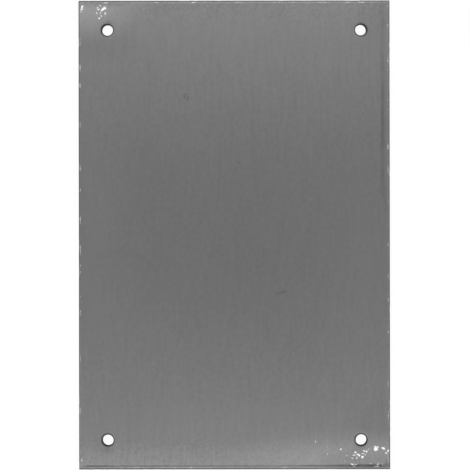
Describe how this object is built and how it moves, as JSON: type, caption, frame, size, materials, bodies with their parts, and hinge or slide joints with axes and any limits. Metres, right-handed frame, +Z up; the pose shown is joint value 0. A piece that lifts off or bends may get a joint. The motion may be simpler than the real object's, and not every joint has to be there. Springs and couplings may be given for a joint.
{
  "type": "steel plate",
  "caption": "Flat rectangular steel plate with brushed faces, sheared edges and a drilled fixing hole near each corner.",
  "frame": {"origin": "centre of the plate's outline on its underside, the plane that it lies on", "axes": "+Z up out of the brushed face, +Y along the length and the grain, +X across the width"},
  "size_m": [0.2022, 0.3048, 0.0048],
  "materials": {
    "brushed_steel": "brushed along the length, dull grey, with bright nicks on the edges and pale scuffs at two corners"
  },
  "bodies": {
    "root": {"plate": "brushed_steel"}
  },
  "joints": []
}
